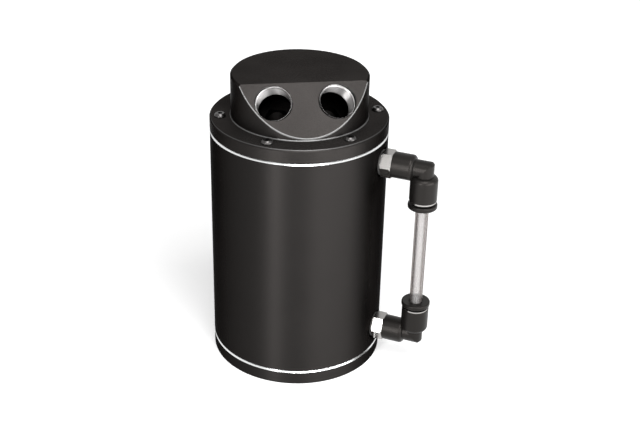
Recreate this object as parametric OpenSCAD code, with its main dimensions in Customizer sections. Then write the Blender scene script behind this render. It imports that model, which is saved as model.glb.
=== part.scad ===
// Oil catch can: a machined tube between a screwed base and a screwed lid,
// with two threaded hose ports in the lid's slanted face and a sight gauge at the side.
// Origin: centre of the base's lower face. +Z up. The slanted face looks towards -Y.
// All sizes in millimetres.

/* [Canister] */
// Outer diameter of the tube, the lid flange and the base
can_d = 85; // [84:0.5:95]
// Length of the tube
tube_len = 112; // [105:1:160]
// Wall of the tube between its end collars
wall = 3; // [2:0.1:4]
// Wall of the thick collar at each end, which takes the screws
collar_wall = 8; // [7.6:0.1:9]
// Length of each end collar
collar_len = 18; // [17:0.5:24]
// Bright chamfer on the tube's upper outer edge
bright_chamfer = 1; // [0.5:0.1:1.2]
// Small edge break on outer edges that stay black
edge_break = 0.3; // [0.2:0.1:0.5]

/* [Base] */
// Thickness of the base outside the tube
base_t = 7.5; // [7:0.1:10]
// Depth of the counterbores for the base screws
base_bore_depth = 3.4; // [3.2:0.1:3.8]

/* [Lid] */
// Thickness of the lid flange
flange_t = 6.5; // [5:0.1:8]
// Chamfer on the flange's upper outer edge
flange_chamfer = 0.8; // [0.4:0.1:1.2]
// Width of the flange's ledge outside the head, which takes the screws
ledge = 10; // [9.6:0.1:10.6]
// Height of the head above the flange
head_h = 20.5; // [19:0.1:23]
// Chamfer on the head's upper edge
head_chamfer = 0.9; // [0.4:0.1:1.2]
// Fillet where the head meets the flange
head_fillet = 0.8; // [0.4:0.1:1]
// Angle of the slanted face
face_angle = 45; // [44:0.5:47]
// Distance from the head's front back to the top edge of the slanted face
face_inset = 19.5; // [18.5:0.1:20]

/* [Ports] */
// Diameter of the threaded port bores, over the thread's crests in the wall
port_d = 16.7; // [15:0.1:17]
// Depth of each port bore along its axis
port_depth = 15; // [13:0.5:16]
// Distance between the two mouths along the face
port_pitch = 29.3; // [28:0.1:31]
// Distance of the mouths below the face's top edge, down the slope
port_drop = 9.7; // [9.4:0.1:11]
// Angle by which each port turns outwards about the can's axis
port_splay = 15; // [10:1:18]
// Width and depth of the chamfer round each mouth
port_chamfer = 0.4; // [0.3:0.05:0.6]
// Diameter of the passage from each port down into the can
passage_d = 11; // [9:0.5:12]
// Depth along the port's axis at which the passage meets it
passage_meet = 12; // [10:0.5:13]

/* [Joint between tube and ends] */
// Length of the spigots of the lid and base inside the tube
spigot_len = 4; // [3.8:0.1:5]
// Radial clearance of the spigots
spigot_clear = 0.05; // [0.03:0.01:0.08]
// Chamfer at both ends of the tube's bore, which leads the spigots in
lead_in = 0.3; // [0.2:0.1:0.5]
// Diameter of the sealing rings' section
seal_section = 1.6; // [1.4:0.1:1.8]
// Clearance round each sealing ring in its groove
seal_clear = 0.04; // [0.03:0.01:0.06]
// Room along the axis beside each sealing ring in the spigots' grooves
groove_play = 0.48; // [0.3:0.02:0.6]

/* [Screws] */
// Number of screws at each end
screw_count = 6; // [4:2:6]
// Thread diameter of the screws
screw_d = 3; // [3:0.1:3.5]
// Radial clearance of the screws in their threaded holes
thread_clear = 0.05; // [0.03:0.01:0.08]
// Radial clearance of the screws where they pass through
pass_clear = 0.25; // [0.2:0.05:0.3]
// Length of the screws inside the tube's end
screw_grip = 8; // [6:0.5:10]
// Depth of the threaded holes beyond the screws' ends
hole_spare = 2; // [1:0.5:3]
// Diameter of the screw heads
screw_head_d = 5.5; // [5.4:0.1:5.8]
// Height of the button heads on the lid
button_h = 1.65; // [1.5:0.05:1.9]
// Radius of the button heads' dome, as a ratio to the heads' radius
dome_ratio = 1.08; // [1.06:0.01:1.2]
// Share of the dome's radius that lies below the heads' seat
dome_sunk = 0.2; // [0.1:0.05:0.25]
// Width across the flats of the lid screws' hex sockets
button_socket = 2; // [1.8:0.1:2.2]
// Depth of the lid screws' hex sockets
button_socket_depth = 1.1; // [0.9:0.1:1.3]
// Height of the cylinder heads under the base
cap_h = 3; // [2.8:0.1:3]
// Width across the flats of the base screws' hex sockets
cap_socket = 2.5; // [2.3:0.1:2.7]
// Depth of the base screws' hex sockets
cap_socket_depth = 1.6; // [1.4:0.1:1.8]
// Radial room round the heads in the base's counterbores
head_room = 0.25; // [0.2:0.05:0.35]

/* [Drain] */
// Distance of the drain from the can's axis, towards the back
drain_offset = 18; // [17:0.5:20]
// Thread diameter of the drain plug
drain_d = 12; // [10:0.5:12]
// Diameter of the plug's head
drain_head_d = 17.8; // [17:0.1:18.5]
// Thickness of the plug's head
drain_head_t = 3; // [2.5:0.1:3]
// Thickness of the sealing washer
drain_seal_t = 1; // [0.8:0.1:1.2]
// Depth of the plug's head below the base's lower face
drain_sunk = 0.4; // [0.3:0.1:0.8]
// Radial room round the plug's head
drain_room = 0.4; // [0.3:0.1:0.6]
// Width across the flats of the plug's hex socket
drain_socket = 6; // [5:0.5:6]
// Depth of the plug's hex socket
drain_socket_depth = 4.5; // [4:0.1:5]
// Width of the dished rim round the drain on the inner floor
drain_dish = 6; // [4:0.5:8]
// Depth of the dished rim
drain_dish_depth = 1.3; // [1:0.1:1.5]

/* [Gauge fittings] */
// Direction of the gauge round the can, in degrees from +X
gauge_azimuth = -30; // [-32:1:-28]
// Distance of the fittings' axes from the ends of the tube
gauge_inset = 10.9; // [10.6:0.1:11.5]
// Depth of the flat seats milled in the can for the fittings
seat_depth = 0.6; // [0.6:0.1:1]
// Diameter of the flat seats
seat_d = 14.6; // [14.2:0.1:15]
// Thread diameter of the fittings
stud_d = 9.7; // [9.5:0.1:9.8]
// Length of the fittings' thread
stud_len = 6; // [5:0.1:6.2]
// Diameter of the hole through the fittings
stud_bore_d = 4.4; // [3.5:0.1:4.6]
// Thickness of the sealing ring under each hexagon
stud_seal_t = 0.9; // [0.8:0.1:1.1]
// Outer diameter of that sealing ring
stud_seal_d = 12.2; // [11.8:0.1:12.6]
// Width of the hexagon across its flats
hex_width = 12; // [12:0.1:13]
// Length of the hexagon
hex_len = 5.2; // [4.8:0.1:6]
// Gap between the hexagon and the elbow's barrel
barrel_gap = 0.15; // [0.1:0.05:0.3]
// Diameter of the spigot on which the elbow swivels
swivel_d = 8.2; // [8:0.1:8.4]
// Length of that spigot
swivel_len = 6.4; // [6.2:0.1:6.8]
// Radial running clearance of the elbow on the spigot
swivel_clear = 0.05; // [0.03:0.01:0.08]
// Depth of the spigot's snap groove
snap_depth = 0.5; // [0.4:0.05:0.6]
// Width of the elbow's snap ridge
snap_width = 0.8; // [0.6:0.1:1]
// Section diameter of the elbow's sealing ring
swivel_seal_section = 0.8; // [0.7:0.05:0.9]
// Room along the axis beside that ring in its groove
swivel_groove_play = 0.32; // [0.2:0.02:0.4]
// Distance between the snap ridge and the ring's groove
swivel_seal_gap = 1.2; // [1:0.1:1.4]

/* [Elbows] */
// Distance from the hexagon's seat to the gauge tube's axis
elbow_reach = 20.2; // [19.6:0.1:22]
// Outer diameter of the elbow's barrel
barrel_d = 12.4; // [12:0.1:13]
// Length of the barrel with its rounded shoulder
barrel_len = 10.2; // [9.8:0.1:10.6]
// Outer diameter of the slim neck
neck_d = 8.8; // [8.6:0.1:9]
// Radius of the ball that rounds the neck's outer corner
corner_r = 5.3; // [5.2:0.1:5.6]
// Diameter of the flow passage in the elbow
flow_d = 5.2; // [4.8:0.1:5.4]
// Distance from the elbow's axis to the start of the socket's shoulder
socket_start = 3; // [2.8:0.1:3.4]
// Outer diameter of the socket
socket_d = 13.2; // [13:0.1:13.6]
// Distance from the elbow's axis to the socket's mouth
socket_end = 15.2; // [15:0.1:16]

/* [Gauge tube and its grip] */
// Outer diameter of the clear tube
tube_d = 6.35; // [6.2:0.05:6.5]
// Wall of the clear tube
tube_wall = 1; // [0.8:0.1:1.2]
// Distance from the elbow's axis to the stop inside the socket
tube_stop = 5.4; // [5.2:0.1:5.6]
// Gap between the tube's end and that stop
tube_end_gap = 0.2; // [0.1:0.05:0.3]
// Radial clearance of the tube in its pilot bore
tube_clear = 0.05; // [0.03:0.01:0.08]
// Section diameter of the tube's sealing ring
tube_seal_section = 1.5; // [1.4:0.05:1.6]
// Room along the tube beside that ring in its gland
gland_play = 0.375; // [0.3:0.025:0.45]
// Length of the pilot bore between the stop and the sealing ring
pilot_len = 3; // [2.6:0.1:3.2]
// Thickness of the toothed grip ring
grip_t = 0.4; // [0.3:0.05:0.5]
// Height to which its teeth lean
grip_rise = 0.5; // [0.4:0.05:0.6]
// Number of slots between its teeth
grip_slots = 8; // [6:1:10]
// Outer diameter of the metal ring inside the socket
ring_d = 11.4; // [11.2:0.1:11.6]
// Wall of the metal ring
ring_wall = 1.1; // [1:0.05:1.2]
// Height of the ring's lip beyond the socket's mouth
ring_lip = 0.8; // [0.6:0.1:0.9]
// Diameter of the ring's lip
ring_lip_d = 12.7; // [12.4:0.1:12.9]
// Diameter of the release collar's flange
collar_d = 14; // [13.8:0.1:14.6]
// Thickness of the release collar's flange
collar_t = 2.3; // [2:0.1:2.6]
// Rounding of the flange's edges
collar_round = 0.6; // [0.4:0.1:0.8]
// Clear space between the collar's flange and the ring when it is out
collar_gap = 1; // [0.9:0.05:1.1]
// Length of the collar's sleeve inside the ring
sleeve_len = 4.2; // [4:0.1:4.3]
// Clearance of the collar's sleeve to the ring and to the tube
sleeve_clear = 0.3; // [0.25:0.05:0.35]

/* [Inner parts] */
// Outer diameter of the inlet's drop tube
drop_d = 13; // [12.5:0.5:14]
// Wall of the drop tube
drop_wall = 1; // [0.8:0.1:1.2]
// Depth of the drop tube's seat in the lid
drop_seat = 6; // [5:0.5:7]
// Radial clearance of the drop tube in its seat and in the baffle
drop_clear = 0.03; // [0.02:0.01:0.05]
// Distance of the baffle below the lid's underside
baffle_drop = 50; // [40:1:60]
// Thickness of the baffle
baffle_t = 1.5; // [1.2:0.1:2]
// Gap between the baffle's edge and the tube's end collars
baffle_gap = 0.3; // [0.3:0.1:0.6]
// Length of the drop tube below the baffle
drop_below = 8; // [6:1:10]
// Width and height of the drop tube's shoulder on the baffle
drop_shoulder = 1.5; // [1.2:0.1:2]
// Diameter of the baffle's holes
baffle_hole_d = 4.4; // [4:0.1:4.8]
// Distance between the rings of baffle holes
baffle_pitch = 9; // [8.5:0.1:10]
// Rim without holes round the baffle's edge
baffle_rim = 3; // [2:0.5:4]

/* [Hidden] */
$fn = 72;
eps = 0.01;
over = 1;

can_r = can_d / 2;
bore_r = can_r - wall;
collar_r = can_r - collar_wall;
step = collar_wall - wall;
tube_z0 = base_t;
tube_z1 = base_t + tube_len;
flange_z1 = tube_z1 + flange_t;
top_z = flange_z1 + head_h;
head_r = can_r - ledge;
face_offset = head_r - face_inset;

// Spigots and their grooves
spigot_r = collar_r - spigot_clear;
groove_w = seal_section + groove_play;
groove_r = collar_r - seal_section - 2 * seal_clear;
seal_r = groove_r + seal_clear + seal_section / 2;
lid_groove_z = tube_z1 - spigot_len / 2;
base_groove_z = tube_z0 + spigot_len / 2;

// Screws
pitch_r = can_r - ledge / 2;
screw_r = screw_d / 2 - thread_clear;
pass_r = screw_d / 2 + pass_clear;
screw_head_r = screw_head_d / 2;
dome_r = screw_head_r * dome_ratio;

// Ports: the mouth's centre on the slanted face and the way out of it
port_r = port_d / 2;
mouth_y = -(face_offset + port_drop * cos(face_angle));
mouth_z = top_z - port_drop * sin(face_angle);
port_tilt = 90 - face_angle;
out_xy = sin(port_tilt);
passage_x = port_pitch / 2 - passage_meet * out_xy * sin(port_splay);
passage_y = mouth_y + passage_meet * out_xy * cos(port_splay);
passage_z = mouth_z - passage_meet * cos(port_tilt);

// Drain
drain_r = drain_d / 2;
drain_recess = drain_sunk + drain_head_t + drain_seal_t;

// Gauge: x is the distance from the can's axis, d the distance along the clear tube
seat_x = can_r - seat_depth;
hex_x = seat_x + stud_seal_t;
swivel_x = hex_x + hex_len;
barrel_x = swivel_x + barrel_gap;
swivel_r = swivel_d / 2;
snap_x = barrel_x + snap_width;
swivel_groove_w = swivel_seal_section + swivel_groove_play;
swivel_groove_x = snap_x + snap_width + swivel_seal_gap;
swivel_groove_r = swivel_r + swivel_clear - swivel_seal_section - 2 * seal_clear;
gauge_x = hex_x + elbow_reach;
gauge_low_z = tube_z0 + gauge_inset;
gauge_high_z = tube_z1 - gauge_inset;
neck_r = neck_d / 2;
barrel_r = barrel_d / 2;
socket_r = socket_d / 2;
flow_r = flow_d / 2;
tube_r = tube_d / 2;
tube_start = tube_stop + tube_end_gap;
pilot_r = tube_r + tube_clear;
gland_d0 = tube_stop + pilot_len;
gland_len = tube_seal_section + gland_play;
gland_r = tube_r + tube_seal_section + 2 * seal_clear;
grip_d0 = gland_d0 + gland_len + seal_clear;
ring_r = ring_d / 2;
ring_d0 = grip_d0 + grip_t + grip_rise + seal_clear;
ring_in_r = ring_r - ring_wall;
ring_d1 = socket_end + ring_lip;
flange_d0 = ring_d1 + collar_gap;
sleeve_d0 = flange_d0 - sleeve_len;
sleeve_out_r = ring_in_r - sleeve_clear;
sleeve_in_r = tube_r + sleeve_clear;

// Inner parts
drop_r = drop_d / 2;
baffle_r = collar_r - baffle_gap;
under_z = tube_z1 - spigot_len;
baffle_z1 = under_z - baffle_drop;
baffle_rings = floor((baffle_r - baffle_hole_d / 2 - baffle_rim) / baffle_pitch);

// Placing helpers

// The children at each screw, at height 0
module at_screws() {
    for (i = [0 : screw_count - 1])
        rotate([0, 0, i * 360 / screw_count])
            translate([pitch_r, 0, 0])
                children();
}

// The children in a port's frame: origin at the mouth's centre, +Z out of the mouth
module at_port(side) {
    translate([side * port_pitch / 2, mouth_y, mouth_z])
        rotate([0, 0, side * port_splay])
            rotate([port_tilt, 0, 0])
                children();
}

// The children along the gauge fitting's axis, starting x from the can's axis
module along_fitting(x) {
    translate([x, 0, 0])
        rotate([0, 90, 0])
            children();
}

// The children along the clear tube's axis, starting d from the elbow's axis
module along_tube(d) {
    translate([gauge_x, 0, -d])
        mirror([0, 0, 1])
            children();
}

// The upper fitting's place, with its socket pointing down
module upper_fitting() {
    translate([0, 0, gauge_high_z])
        rotate([0, 0, gauge_azimuth])
            children();
}

// The lower fitting's place, with its socket pointing up
module lower_fitting() {
    translate([0, 0, gauge_low_z])
        rotate([0, 0, gauge_azimuth])
            mirror([0, 0, 1])
                children();
}

// Shape helpers

// A ring with a square section
module washer(r_out, r_in, h) {
    difference() {
        cylinder(r = r_out, h = h);
        translate([0, 0, -over])
            cylinder(r = r_in, h = h + 2 * over);
    }
}

// A sealing ring with a round section, centred on height 0
module seal_ring(r, section) {
    rotate_extrude()
        translate([r, 0])
            circle(d = section, $fn = 24);
}

// A hexagonal prism, with its corners broken at both ends
module hexagon(width, h) {
    corner = width / cos(30) / 2;
    cut = corner - width / 2;
    intersection() {
        rotate([0, 0, 30])
            cylinder(r = corner, h = h, $fn = 6);
        rotate_extrude()
            polygon([[0, 0], [corner - cut / 2, 0], [corner, cut / 2], [corner, h - cut / 2],
                     [corner - cut / 2, h], [0, h]]);
    }
}

// A hex socket, cut downwards from height 0
module hex_socket(width, depth) {
    translate([0, 0, -depth])
        rotate([0, 0, 30])
            cylinder(d = width / cos(30), h = depth + over, $fn = 6);
}

// A shaft whose far edge is rounded down to a smaller radius
module shouldered_shaft(r, r_end, h) {
    round_r = r - r_end;
    rotate_extrude()
        union() {
            square([r, h - round_r]);
            square([r_end, h]);
            translate([r_end, h - round_r])
                intersection() {
                    circle(r = round_r, $fn = 32);
                    square(round_r);
                }
        }
}

// Main pieces

// The machined tube: thin in the middle, thick at both ends
module canister() {
    color("#1a1a1c")
        difference() {
            rotate_extrude($fn = 144)
                polygon([
                    [collar_r + lead_in, tube_z0],
                    [can_r - edge_break, tube_z0],
                    [can_r, tube_z0 + edge_break],
                    [can_r, tube_z1 - bright_chamfer],
                    [can_r - bright_chamfer, tube_z1],
                    [collar_r + lead_in, tube_z1],
                    [collar_r, tube_z1 - lead_in],
                    [collar_r, tube_z1 - collar_len],
                    [bore_r, tube_z1 - collar_len - step],
                    [bore_r, tube_z0 + collar_len + step],
                    [collar_r, tube_z0 + collar_len],
                    [collar_r, tube_z0 + lead_in],
                ]);
            translate([0, 0, tube_z0])
                at_screws()
                    translate([0, 0, -over])
                        cylinder(d = screw_d, h = screw_grip + hole_spare + over);
            translate([0, 0, tube_z1 - screw_grip - hole_spare])
                at_screws()
                    cylinder(d = screw_d, h = screw_grip + hole_spare + over);
            upper_fitting()
                gauge_hole();
            lower_fitting()
                gauge_hole();
        }
}

// A threaded hole for a gauge fitting, with its flat seat on the can
module gauge_hole() {
    along_fitting(collar_r - over)
        cylinder(r = stud_d / 2 + thread_clear, h = collar_wall + over);
    along_fitting(seat_x)
        cylinder(d = seat_d, h = seat_depth + over);
}

// The base: a thick plate with a spigot into the tube and a sunk drain
module base_plate() {
    color("#18181a")
        difference() {
            rotate_extrude($fn = 144)
                difference() {
                    union() {
                        polygon([[0, 0], [can_r - edge_break, 0], [can_r, edge_break],
                                 [can_r, base_t - bright_chamfer], [can_r - bright_chamfer, base_t],
                                 [0, base_t]]);
                        square([spigot_r, base_t + spigot_len]);
                    }
                    translate([groove_r, base_groove_z - groove_w / 2])
                        square([spigot_r, groove_w]);
                }
            at_screws() {
                translate([0, 0, -over])
                    cylinder(r = pass_r, h = base_t + 2 * over);
                translate([0, 0, -over])
                    cylinder(r = screw_head_r + head_room, h = base_bore_depth + over);
            }
            translate([0, drain_offset, 0]) {
                translate([0, 0, -over])
                    cylinder(d = drain_head_d + 2 * drain_room, h = drain_recess + over);
                cylinder(r = drain_r, h = base_t + spigot_len + over);
                translate([0, 0, base_t + spigot_len - drain_dish_depth])
                    cylinder(r1 = drain_r, r2 = drain_r + drain_dish, h = drain_dish_depth + eps);
            }
        }
}

// The lid: flange, head and spigot in one piece
module lid() {
    color("#1c1c1e")
        difference() {
            rotate_extrude($fn = 144)
                lid_section();
            slanted_cut();
            for (side = [-1, 1])
                port_cut(side);
            translate([passage_x, passage_y, under_z - over])
                cylinder(r = drop_r + drop_clear, h = drop_seat + over);
            at_screws()
                translate([0, 0, tube_z1 - over])
                    cylinder(r = pass_r, h = flange_t + 2 * over);
        }
}

// Half section of the lid before its face, ports and holes are cut
module lid_section() {
    difference() {
        union() {
            polygon([
                [0, tube_z1],
                [can_r - edge_break, tube_z1],
                [can_r, tube_z1 + edge_break],
                [can_r, flange_z1 - flange_chamfer],
                [can_r - flange_chamfer, flange_z1],
                [head_r, flange_z1],
                [head_r, top_z - head_chamfer],
                [head_r - head_chamfer, top_z],
                [0, top_z],
            ]);
            translate([0, under_z])
                square([spigot_r, spigot_len + over]);
            translate([head_r - over, flange_z1 - over])
                square([head_fillet + over, head_fillet + over]);
        }
        translate([head_r + head_fillet, flange_z1 + head_fillet])
            circle(r = head_fillet, $fn = 32);
        translate([groove_r, lid_groove_z - groove_w / 2])
            square([spigot_r, groove_w]);
    }
}

// The wedge that leaves the slanted face, kept above the flange
module slanted_cut() {
    intersection() {
        translate([-can_r, -face_offset, top_z])
            rotate([face_angle, 0, 0])
                translate([0, -can_d, 0])
                    cube([can_d, can_d, can_d]);
        translate([0, 0, flange_z1])
            cylinder(r = head_r + head_fillet, h = head_h + over);
    }
}

// One threaded port with its mouth's chamfer and its passage into the can
module port_cut(side) {
    at_port(side)
        translate([0, 0, -port_depth])
            cylinder(r = port_r, h = port_depth + port_r);
    translate([side * port_pitch / 2, mouth_y, mouth_z])
        rotate([port_tilt, 0, 0])
            translate([0, 0, -2 * port_chamfer])
                cylinder(r1 = port_r - port_chamfer, r2 = port_r + 2 * port_chamfer, h = 3 * port_chamfer);
    translate([side * passage_x, passage_y, under_z - over])
        cylinder(d = passage_d, h = passage_z - under_z + over);
}

// Six button-head screws that hold the lid
module lid_screws() {
    color("#2b2b2e")
        translate([0, 0, flange_z1])
            at_screws()
                difference() {
                    union() {
                        intersection() {
                            cylinder(r = screw_head_r, h = button_h);
                            translate([0, 0, -dome_r * dome_sunk])
                                sphere(r = dome_r);
                        }
                        translate([0, 0, -flange_t - screw_grip])
                            cylinder(r = screw_r, h = flange_t + screw_grip);
                    }
                    translate([0, 0, button_h])
                        hex_socket(button_socket, button_socket_depth);
                }
}

// Six cap screws that hold the base from beneath
module base_screws() {
    color("#2b2b2e")
        translate([0, 0, base_bore_depth])
            at_screws()
                difference() {
                    union() {
                        translate([0, 0, -cap_h])
                            cylinder(r = screw_head_r, h = cap_h);
                        cylinder(r = screw_r, h = base_t - base_bore_depth + screw_grip);
                    }
                    translate([0, 0, -cap_h])
                        mirror([0, 0, 1])
                            hex_socket(cap_socket, cap_socket_depth);
                }
}

// The sealing ring round the lid's spigot
module lid_seal() {
    color("#101010")
        translate([0, 0, lid_groove_z])
            seal_ring(seal_r, seal_section);
}

// The sealing ring round the base's spigot
module base_seal() {
    color("#101010")
        translate([0, 0, base_groove_z])
            seal_ring(seal_r, seal_section);
}

// The drain plug: a flat head with a hex socket and a thread
module drain_plug() {
    plug_len = base_t + spigot_len - drain_dish_depth - drain_sunk;
    color("#8a8c90")
        translate([0, drain_offset, drain_sunk])
            difference() {
                union() {
                    cylinder(d = drain_head_d, h = drain_head_t);
                    cylinder(r = drain_r - thread_clear, h = plug_len);
                }
                mirror([0, 0, 1])
                    hex_socket(drain_socket, drain_socket_depth);
            }
}

// The washer under the drain plug's head
module drain_plug_seal() {
    color("#b06a3a")
        translate([0, drain_offset, drain_sunk + drain_head_t])
            washer(drain_head_d / 2, drain_r + thread_clear, drain_seal_t);
}

// Inner pieces

// The inlet's tube, pressed into the lid, which leads the vapour below the baffle
module inlet_drop_tube() {
    low_z = baffle_z1 - baffle_t - drop_below;
    color("#9a9ca0")
        translate([passage_x, passage_y, 0])
            difference() {
                union() {
                    translate([0, 0, low_z])
                        cylinder(r = drop_r, h = under_z + drop_seat - low_z);
                    translate([0, 0, baffle_z1])
                        cylinder(r = drop_r + drop_shoulder, h = drop_shoulder);
                }
                translate([0, 0, low_z - over])
                    cylinder(r = drop_r - drop_wall, h = under_z + drop_seat - low_z + 2 * over);
            }
}

// The perforated disc that the drop tube carries
module baffle_disc() {
    keep_off = drop_r + drop_shoulder + baffle_hole_d / 2;
    color("#a6a8ac")
        translate([0, 0, baffle_z1 - baffle_t])
            difference() {
                cylinder(r = baffle_r, h = baffle_t);
                translate([passage_x, passage_y, -over])
                    cylinder(r = drop_r + drop_clear, h = baffle_t + 2 * over);
                for (ring = [1 : baffle_rings])
                    for (i = [0 : 6 * ring - 1])
                        let (a = i * 60 / ring,
                             x = ring * baffle_pitch * cos(a),
                             y = ring * baffle_pitch * sin(a))
                            if (norm([x - passage_x, y - passage_y]) > keep_off)
                                translate([x, y, -over])
                                    cylinder(d = baffle_hole_d, h = baffle_t + 2 * over, $fn = 24);
            }
}

// Sight gauge

// The clear tube between the two sockets
module sight_tube() {
    color([0.85, 0.87, 0.88, 0.4])
        rotate([0, 0, gauge_azimuth])
            translate([gauge_x, 0, gauge_low_z + tube_start])
                washer(tube_r, tube_r - tube_wall, gauge_high_z - gauge_low_z - 2 * tube_start);
}

// A plated stud: thread, hexagon and the spigot that carries the elbow
module stud() {
    color("#d9d9d6")
        difference() {
            union() {
                along_fitting(seat_x - stud_len)
                    cylinder(d = stud_d, h = stud_len + stud_seal_t);
                along_fitting(hex_x)
                    hexagon(hex_width, hex_len);
                along_fitting(swivel_x - eps)
                    cylinder(r = swivel_r, h = swivel_len + eps);
            }
            along_fitting(snap_x - swivel_clear)
                washer(swivel_r + over, swivel_r - snap_depth - swivel_clear, snap_width + 2 * swivel_clear);
            along_fitting(swivel_groove_x)
                washer(swivel_r + over, swivel_groove_r, swivel_groove_w);
            along_fitting(seat_x - stud_len - over)
                cylinder(d = stud_bore_d, h = stud_len + stud_seal_t + hex_len + swivel_len + 2 * over);
        }
}

// The flat sealing ring between a hexagon and the can
module stud_seal() {
    color("#101010")
        along_fitting(seat_x)
            washer(stud_seal_d / 2, stud_d / 2 + thread_clear, stud_seal_t);
}

// The moulded elbow: barrel, mitred neck and socket, with its stepped bores
module elbow() {
    color("#242427")
        difference() {
            union() {
                along_fitting(barrel_x)
                    shouldered_shaft(barrel_r, neck_r, barrel_len);
                along_fitting(barrel_x + barrel_len / 2)
                    cylinder(r = neck_r, h = gauge_x - barrel_x - barrel_len / 2);
                along_tube(0)
                    cylinder(r = neck_r, h = socket_end / 2);
                intersection() {
                    along_fitting(gauge_x - neck_r)
                        cylinder(r = neck_r, h = 2 * corner_r);
                    along_tube(-corner_r)
                        cylinder(r = neck_r, h = 2 * corner_r);
                    translate([gauge_x, 0, 0])
                        sphere(r = corner_r);
                }
                along_tube(socket_end)
                    mirror([0, 0, 1])
                        shouldered_shaft(socket_r, neck_r, socket_end - socket_start);
            }
            along_fitting(barrel_x - over)
                difference() {
                    cylinder(r = swivel_r + swivel_clear, h = swivel_len + over);
                    translate([0, 0, snap_x - barrel_x + over])
                        washer(swivel_r + over, swivel_r - snap_depth, snap_width);
                }
            along_fitting(barrel_x)
                cylinder(r = flow_r, h = gauge_x - barrel_x + flow_r / 2);
            along_tube(-flow_r / 2)
                cylinder(r = flow_r, h = tube_stop + flow_r);
            along_tube(tube_stop)
                cylinder(r = pilot_r, h = pilot_len + over);
            along_tube(gland_d0)
                cylinder(r = gland_r, h = gland_len + over);
            along_tube(gland_d0 + gland_len)
                cylinder(r = ring_r, h = socket_end);
        }
}

// The sealing ring between a stud and its elbow
module swivel_seal() {
    color("#101010")
        along_fitting(swivel_groove_x + swivel_groove_w / 2)
            seal_ring(swivel_groove_r + seal_clear + swivel_seal_section / 2, swivel_seal_section);
}

// The metal ring in the socket's mouth, which holds the grip ring in
module socket_ring() {
    color("#d0d0cd")
        difference() {
            union() {
                along_tube(ring_d0)
                    cylinder(r = ring_r - seal_clear, h = ring_d1 - ring_d0);
                along_tube(socket_end)
                    cylinder(d = ring_lip_d, h = ring_lip);
            }
            along_tube(ring_d0 - over)
                cylinder(r = ring_in_r, h = ring_d1 - ring_d0 + 2 * over);
        }
}

// The sealing ring round the clear tube's end
module tube_seal() {
    color("#101010")
        along_tube(gland_d0 + gland_len / 2)
            seal_ring(tube_r + seal_clear + tube_seal_section / 2, tube_seal_section);
}

// The toothed grip ring, with its teeth leaning inwards round the tube
module gripper() {
    grip_out_r = ring_r - seal_clear;
    grip_in_r = tube_r + tube_clear;
    grip_mid_r = ring_in_r;
    color("#b8babd")
        along_tube(grip_d0)
            difference() {
                rotate_extrude()
                    polygon([
                        [grip_mid_r, grip_rise],
                        [grip_out_r, grip_rise],
                        [grip_out_r, grip_rise + grip_t],
                        [grip_mid_r, grip_rise + grip_t],
                        [grip_in_r, grip_t],
                        [grip_in_r, 0],
                    ]);
                for (i = [0 : grip_slots - 1])
                    rotate([0, 0, i * 360 / grip_slots])
                        translate([0, -grip_t / 2, -over])
                            cube([grip_mid_r, grip_t, grip_rise + grip_t + 2 * over]);
            }
}

// The release collar: a flange to press on and a sleeve that opens the grip ring
module release_collar() {
    color("#1d1d1f")
        difference() {
            union() {
                along_tube(sleeve_d0)
                    cylinder(r = sleeve_out_r, h = sleeve_len + collar_round);
                along_tube(flange_d0)
                    rounded_disc(collar_d / 2, collar_t, collar_round);
            }
            along_tube(sleeve_d0 - over)
                cylinder(r = sleeve_in_r, h = sleeve_len + collar_t + 2 * over);
        }
}

// A disc with both outer edges rounded
module rounded_disc(r, h, round_r) {
    rotate_extrude()
        union() {
            square([r - round_r, h]);
            translate([0, round_r])
                square([r, h - 2 * round_r]);
            translate([r - round_r, round_r])
                circle(r = round_r, $fn = 24);
            translate([r - round_r, h - round_r])
                circle(r = round_r, $fn = 24);
        }
}

// The two fittings' pieces in their places
module upper_stud() { upper_fitting() stud(); }
module upper_stud_seal() { upper_fitting() stud_seal(); }
module upper_elbow() { upper_fitting() elbow(); }
module upper_swivel_seal() { upper_fitting() swivel_seal(); }
module upper_socket_ring() { upper_fitting() socket_ring(); }
module upper_tube_seal() { upper_fitting() tube_seal(); }
module upper_gripper() { upper_fitting() gripper(); }
module upper_release_collar() { upper_fitting() release_collar(); }
module lower_stud() { lower_fitting() stud(); }
module lower_stud_seal() { lower_fitting() stud_seal(); }
module lower_elbow() { lower_fitting() elbow(); }
module lower_swivel_seal() { lower_fitting() swivel_seal(); }
module lower_socket_ring() { lower_fitting() socket_ring(); }
module lower_tube_seal() { lower_fitting() tube_seal(); }
module lower_gripper() { lower_fitting() gripper(); }
module lower_release_collar() { lower_fitting() release_collar(); }

canister();
base_plate();
lid();
lid_screws();
base_screws();
lid_seal();
base_seal();
drain_plug();
drain_plug_seal();
inlet_drop_tube();
baffle_disc();
sight_tube();
upper_stud();
upper_stud_seal();
upper_elbow();
upper_swivel_seal();
upper_socket_ring();
upper_tube_seal();
upper_gripper();
upper_release_collar();
lower_stud();
lower_stud_seal();
lower_elbow();
lower_swivel_seal();
lower_socket_ring();
lower_tube_seal();
lower_gripper();
lower_release_collar();
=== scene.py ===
"""Dresses the oil catch can: camera, studio, finishes and the threads in its hose ports.

Lengths are in metres in the part's own frame: origin at the centre of the base's
lower face, +Z up, the slanted face looking towards -Y.
"""

import logging
import math
from dataclasses import dataclass
from enum import Enum
from typing import Protocol

import bpy
import numpy as np
from bpy.types import Material, Node, NodeSocket, NodeTree, Object
from mathutils import Matrix, Vector


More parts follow.
